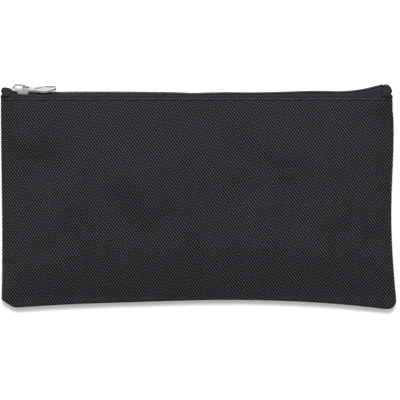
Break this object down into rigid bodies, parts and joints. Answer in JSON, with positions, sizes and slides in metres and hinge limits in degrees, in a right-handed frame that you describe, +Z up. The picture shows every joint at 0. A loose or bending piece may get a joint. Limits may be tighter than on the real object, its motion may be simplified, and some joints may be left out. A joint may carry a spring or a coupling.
{
  "type": "cash deposit bag",
  "caption": "Flat rectangular fabric cash deposit bag with a zipper along its top edge, a metal slider and a pull tab.",
  "frame": {"origin": "under the middle of the bag, on the surface that its back panel lies on", "axes": "+X along the zipper from the slider's closed end, +Y from the bottom seam to the zipper, +Z up out of the front panel"},
  "size_m": [0.2821, 0.161, 0.0156],
  "materials": {
    "cloth": "coarse woven, matte",
    "tape": "fine woven, matte",
    "coil": "satin nylon",
    "thread": "twisted thread",
    "slider": "nickel plated"
  },
  "bodies": {
    "back_side": {"back_panel": "cloth", "side_seam_left": "cloth", "side_seam_right": "cloth", "bottom_seam": "cloth", "seam_binding_left": "tape", "seam_binding_right": "tape", "seam_binding_bottom": "tape", "zipper_tape_back": "tape", "zipper_coil_back": "coil", "zipper_tab_left": "cloth", "zipper_tab_right": "cloth", "tab_stitching_left": "thread", "tab_stitching_right": "thread", "hem_stitching_back": "thread"},
    "front_side": {"front_panel": "cloth", "zipper_tape_front": "tape", "zipper_coil_front": "coil", "hem_stitching_front": "thread"},
    "slider": {"slider_body": "slider"},
    "pull": {"pull_tab": "slider"}
  },
  "joints": [
    {"name": "slider_travel", "type": "slide", "parent": "back_side", "child": "slider", "axis": [1, 0, 0], "range_m": [0, 0.2225], "deforming": ["zipper_tape_front", "zipper_coil_front", "zipper_tape_back", "zipper_coil_back"]},
    {"name": "mouth_open", "type": "hinge", "parent": "back_side", "child": "front_side", "pos_m": [0, -0.071, 0.007], "axis": [1, 0, 0], "range_deg": [0, 12]},
    {"name": "pull_swing", "type": "hinge", "parent": "slider", "child": "pull", "pos_m": [-0.1249, 0.07776, 0.00716], "axis": [-0.027, -0.2574, 0.9659], "range_deg": [0, 130]}
  ],
  "couplings": [
    {"joint": "mouth_open", "follows": "slider_travel", "rad_per_m": 0.941}
  ]
}
